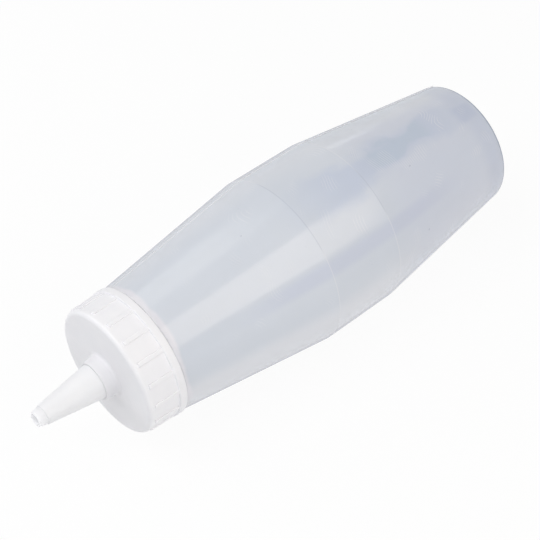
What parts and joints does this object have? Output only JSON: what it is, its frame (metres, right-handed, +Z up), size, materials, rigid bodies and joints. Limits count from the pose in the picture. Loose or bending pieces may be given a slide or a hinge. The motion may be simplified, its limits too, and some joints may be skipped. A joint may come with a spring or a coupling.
{
  "type": "decorating squeeze bottle",
  "caption": "Soft translucent squeeze bottle, widest at its middle, with a ribbed white screw cap and a hollow cone nozzle for piping sauce or icing; lies on its side.",
  "frame": {"origin": "middle of the whole length, on the surface that the lying bottle rests on", "axes": "+X along the bottle's axis from the nozzle to the base, +Z up"},
  "size_m": [0.2556, 0.084, 0.0838],
  "materials": {
    "bottle_plastic": "milky translucent soft plastic with a satin gloss",
    "cap_plastic": "white satin moulded plastic",
    "nozzle_plastic": "white satin moulded plastic"
  },
  "bodies": {
    "root": {"bottle": "bottle_plastic", "screw_cap": "cap_plastic", "nozzle": "nozzle_plastic"}
  },
  "joints": []
}
